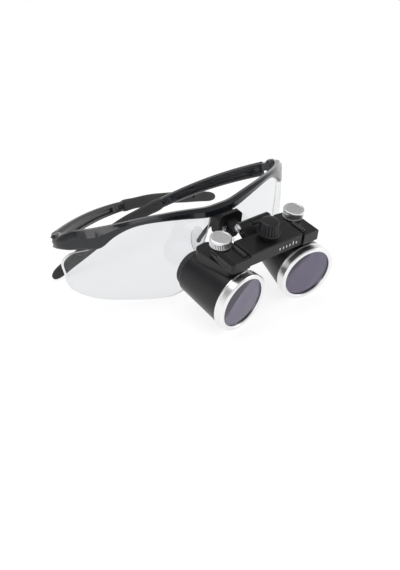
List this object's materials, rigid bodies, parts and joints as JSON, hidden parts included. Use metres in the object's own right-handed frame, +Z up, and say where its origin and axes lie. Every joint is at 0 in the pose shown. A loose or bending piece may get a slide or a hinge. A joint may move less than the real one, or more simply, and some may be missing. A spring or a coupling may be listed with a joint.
{
  "type": "dental loupes",
  "caption": "Flip-up surgical magnifying loupes on half-rim protective spectacles, resting with the temples folded.",
  "frame": {"origin": "on the ground under the centre of the bounding box, with the temples folded and the loupes standing on the rims of the objectives and the lower edges of the lenses", "axes": "+X towards the wearer's left, +Y from the telescopes back towards the wearer, +Z up"},
  "size_m": [0.143, 0.1279, 0.0482],
  "materials": {
    "brow_black": "glossy moulded nylon, bluish black",
    "arm_black": "glossy moulded nylon with lengthwise grooves",
    "bridge_black": "matte moulded nylon",
    "clear_lens": "clear polycarbonate with polished edges",
    "pad_silicone": "soft translucent silicone",
    "bar_black": "black anodised, satin",
    "barrel_black": "black anodised, satin, turned",
    "inner_black": "flat optical black",
    "knob_black": "satin, fluted",
    "gib_black": "satin black",
    "silver_metal": "satin turned, clear anodised",
    "screw_steel": "polished small screws",
    "coated_glass": "multi-coated optical glass, violet reflection",
    "eyecup_rubber": "matte",
    "sleeve_rubber": "matte soft rubber"
  },
  "bodies": {
    "spectacle_front": {"brow_bar": "brow_black", "lens_right": "clear_lens", "lens_left": "clear_lens", "nose_bridge": "bridge_black", "nose_pad_right": "pad_silicone", "nose_pad_left": "pad_silicone", "mount_bracket": "bar_black", "bracket_screw_right": "screw_steel", "bracket_screw_left": "screw_steel", "temple_pin_right": "screw_steel", "temple_pin_left": "screw_steel"},
    "loupe_bar": {"crossbar": "bar_black", "slide_rail": "bar_black", "knob_washer": "bar_black", "flip_pin": "screw_steel"},
    "bar_knob": {"centre_knob": "knob_black"},
    "telescope_right": {"holder_block_right": "bar_black", "clamp_gib_right": "gib_black", "saddle_right": "bar_black", "barrel_right": "barrel_black", "baffle_right": "inner_black", "objective_ring_right": "silver_metal", "objective_lens_right": "coated_glass", "eyecup_right": "eyecup_rubber", "eyepiece_lens_right": "coated_glass"},
    "clamp_screw_right": {"thumb_screw_right": "silver_metal"},
    "temple_right": {"temple_arm_right": "arm_black", "temple_sleeve_right": "sleeve_rubber", "temple_rivet_right": "gib_black"},
    "telescope_left": {"holder_block_left": "bar_black", "clamp_gib_left": "gib_black", "saddle_left": "bar_black", "barrel_left": "barrel_black", "baffle_left": "inner_black", "objective_ring_left": "silver_metal", "objective_lens_left": "coated_glass", "eyecup_left": "eyecup_rubber", "eyepiece_lens_left": "coated_glass"},
    "clamp_screw_left": {"thumb_screw_left": "silver_metal"},
    "temple_left": {"temple_arm_left": "arm_black", "temple_sleeve_left": "sleeve_rubber", "temple_rivet_left": "gib_black"}
  },
  "joints": [
    {"name": "flip_up", "type": "hinge", "parent": "spectacle_front", "child": "loupe_bar", "pos_m": [0, -0.04483, 0.04255], "axis": [-1, 0, 0], "range_deg": [0, 70]},
    {"name": "bar_knob_turn", "type": "hinge", "parent": "loupe_bar", "child": "bar_knob", "pos_m": [0, -0.05477, 0.03881], "axis": [0, -0.2079, 0.9781], "range_deg": [0, 270]},
    {"name": "pupil_slide_right", "type": "slide", "parent": "loupe_bar", "child": "telescope_right", "axis": [-1, 0, 0], "range_m": [0, 0.0045]},
    {"name": "pupil_slide_left", "type": "slide", "parent": "loupe_bar", "child": "telescope_left", "axis": [1, 0, 0], "range_m": [0, 0.0045]},
    {"name": "clamp_turn_right", "type": "hinge", "parent": "telescope_right", "child": "clamp_screw_right", "pos_m": [-0.0219, -0.04773, 0.0403], "axis": [0, -0.2079, 0.9781], "range_deg": [0, 270]},
    {"name": "clamp_turn_left", "type": "hinge", "parent": "telescope_left", "child": "clamp_screw_left", "pos_m": [0.0219, -0.04773, 0.0403], "axis": [0, -0.2079, 0.9781], "range_deg": [0, 270]},
    {"name": "temple_fold_right", "type": "hinge", "parent": "spectacle_front", "child": "temple_right", "pos_m": [-0.0681, 0.0197, 0.0336], "axis": [-0.0185, 0.1469, 0.989], "range_deg": [0, 68.3]},
    {"name": "temple_fold_left", "type": "hinge", "parent": "spectacle_front", "child": "temple_left", "pos_m": [0.0681, 0.0197, 0.0336], "axis": [0.013, -0.1916, -0.9814], "range_deg": [0, 76.2]}
  ],
  "couplings": [
    {"joint": "temple_fold_left", "follows": "temple_fold_right", "ratio": 1.1127}
  ]
}
